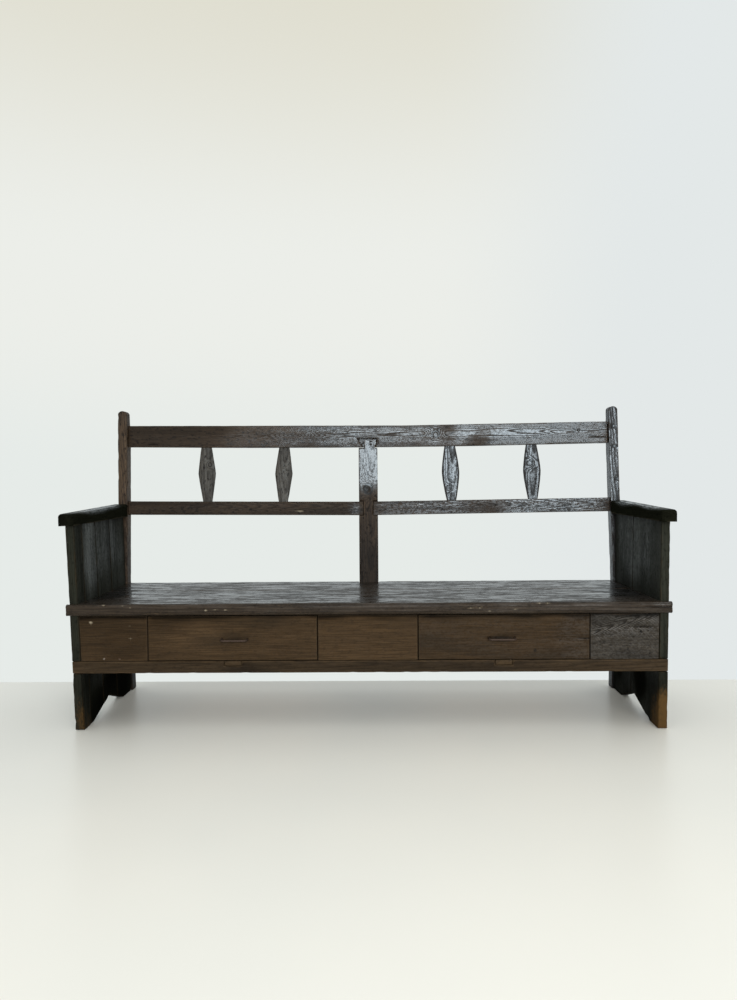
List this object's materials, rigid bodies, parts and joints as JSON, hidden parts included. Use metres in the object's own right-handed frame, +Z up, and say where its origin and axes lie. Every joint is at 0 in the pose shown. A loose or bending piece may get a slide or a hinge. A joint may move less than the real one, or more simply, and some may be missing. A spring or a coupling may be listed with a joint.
{
  "type": "settle bench",
  "caption": "Long rustic wooden settle bench with plank ends, heavy arms, an open railed back with tapered splats, and a boxed seat with two sliding drawers.",
  "frame": {"origin": "centre of the footprint's bounding box, at floor level", "axes": "+X across the bench to the right as seen from the front, +Y from the front to the back, +Z up"},
  "size_m": [2.004, 0.5504, 1.098],
  "materials": {
    "frame_wood": "old dark varnish over open-grained pine, glossy where rubbed",
    "end_wood": "old dark varnish over pine boards, satin",
    "seat_wood": "old dark varnish, worn smooth and glossy",
    "front_wood": "brown stained pine, satin",
    "case_wood": "dark stained rough pine, matte",
    "drawer_box_wood": "bare aged pine, matte",
    "pull_iron": "brown wrought iron, satin"
  },
  "bodies": {
    "bench": {"arm_left": "frame_wood", "arm_right": "frame_wood", "bearer_left": "case_wood", "bearer_right": "case_wood", "case_back": "case_wood", "end_left_board_1": "end_wood", "end_left_board_2": "end_wood", "end_left_board_3": "end_wood", "end_left_board_4": "end_wood", "end_right_board_1": "end_wood", "end_right_board_2": "end_wood", "front_rail": "frame_wood", "lower_cleat_left": "case_wood", "lower_cleat_right": "case_wood", "mid_rail_left": "frame_wood", "mid_rail_right": "frame_wood", "panel_centre": "front_wood", "panel_left": "front_wood", "panel_right": "front_wood", "partition_left_inner": "case_wood", "partition_left_outer": "case_wood", "partition_right_inner": "case_wood", "partition_right_outer": "case_wood", "post_centre": "frame_wood", "post_left": "frame_wood", "post_right": "frame_wood", "rear_rail": "case_wood", "runner_left_inner": "case_wood", "runner_left_outer": "case_wood", "runner_right_inner": "case_wood", "runner_right_outer": "case_wood", "seat_board_front": "seat_wood", "seat_board_rear": "seat_wood", "seat_cleat_left": "case_wood", "seat_cleat_right": "case_wood", "splat_1": "frame_wood", "splat_2": "frame_wood", "splat_3": "frame_wood", "splat_4": "frame_wood", "top_rail": "frame_wood"},
    "drawer_left": {"drawer_left_back": "drawer_box_wood", "drawer_left_bottom": "drawer_box_wood", "drawer_left_front": "front_wood", "drawer_left_side_left": "drawer_box_wood", "drawer_left_side_right": "drawer_box_wood", "pull_left": "pull_iron"},
    "drawer_right": {"drawer_right_back": "drawer_box_wood", "drawer_right_bottom": "drawer_box_wood", "drawer_right_front": "front_wood", "drawer_right_side_left": "drawer_box_wood", "drawer_right_side_right": "drawer_box_wood", "pull_right": "pull_iron"}
  },
  "joints": [
    {"name": "drawer_left_slide", "type": "slide", "parent": "bench", "child": "drawer_left", "axis": [0, -1, 0], "range_m": [0, 0.34]},
    {"name": "drawer_right_slide", "type": "slide", "parent": "bench", "child": "drawer_right", "axis": [0, -1, 0], "range_m": [0, 0.34]}
  ]
}
